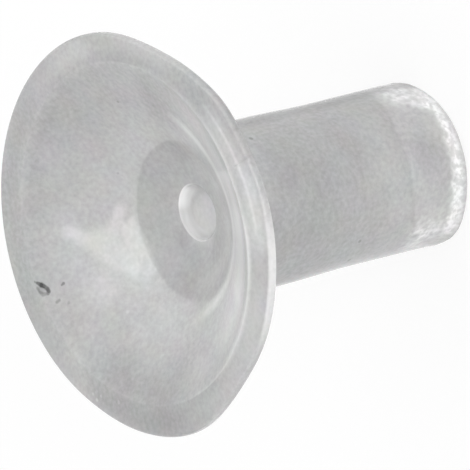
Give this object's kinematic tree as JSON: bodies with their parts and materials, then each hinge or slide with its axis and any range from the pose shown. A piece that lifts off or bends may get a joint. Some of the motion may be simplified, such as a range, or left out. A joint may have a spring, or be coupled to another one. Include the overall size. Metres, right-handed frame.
{
  "type": "shelf support pin",
  "caption": "Soft clear plastic shelf pin: a solid round stem that presses into a hole, with a shallow suction cup head that grips the underside of a glass shelf.",
  "frame": {"origin": "centre of the stem's flat free end, on which the pin stands", "axes": "+Z runs along the stem and out of the cup's mouth; X and Y are free, because the pin is round"},
  "size_m": [0.012, 0.012, 0.0107],
  "materials": {
    "clear_soft_plastic": "satin"
  },
  "bodies": {
    "root": {"suction_pin": "clear_soft_plastic"}
  },
  "joints": []
}
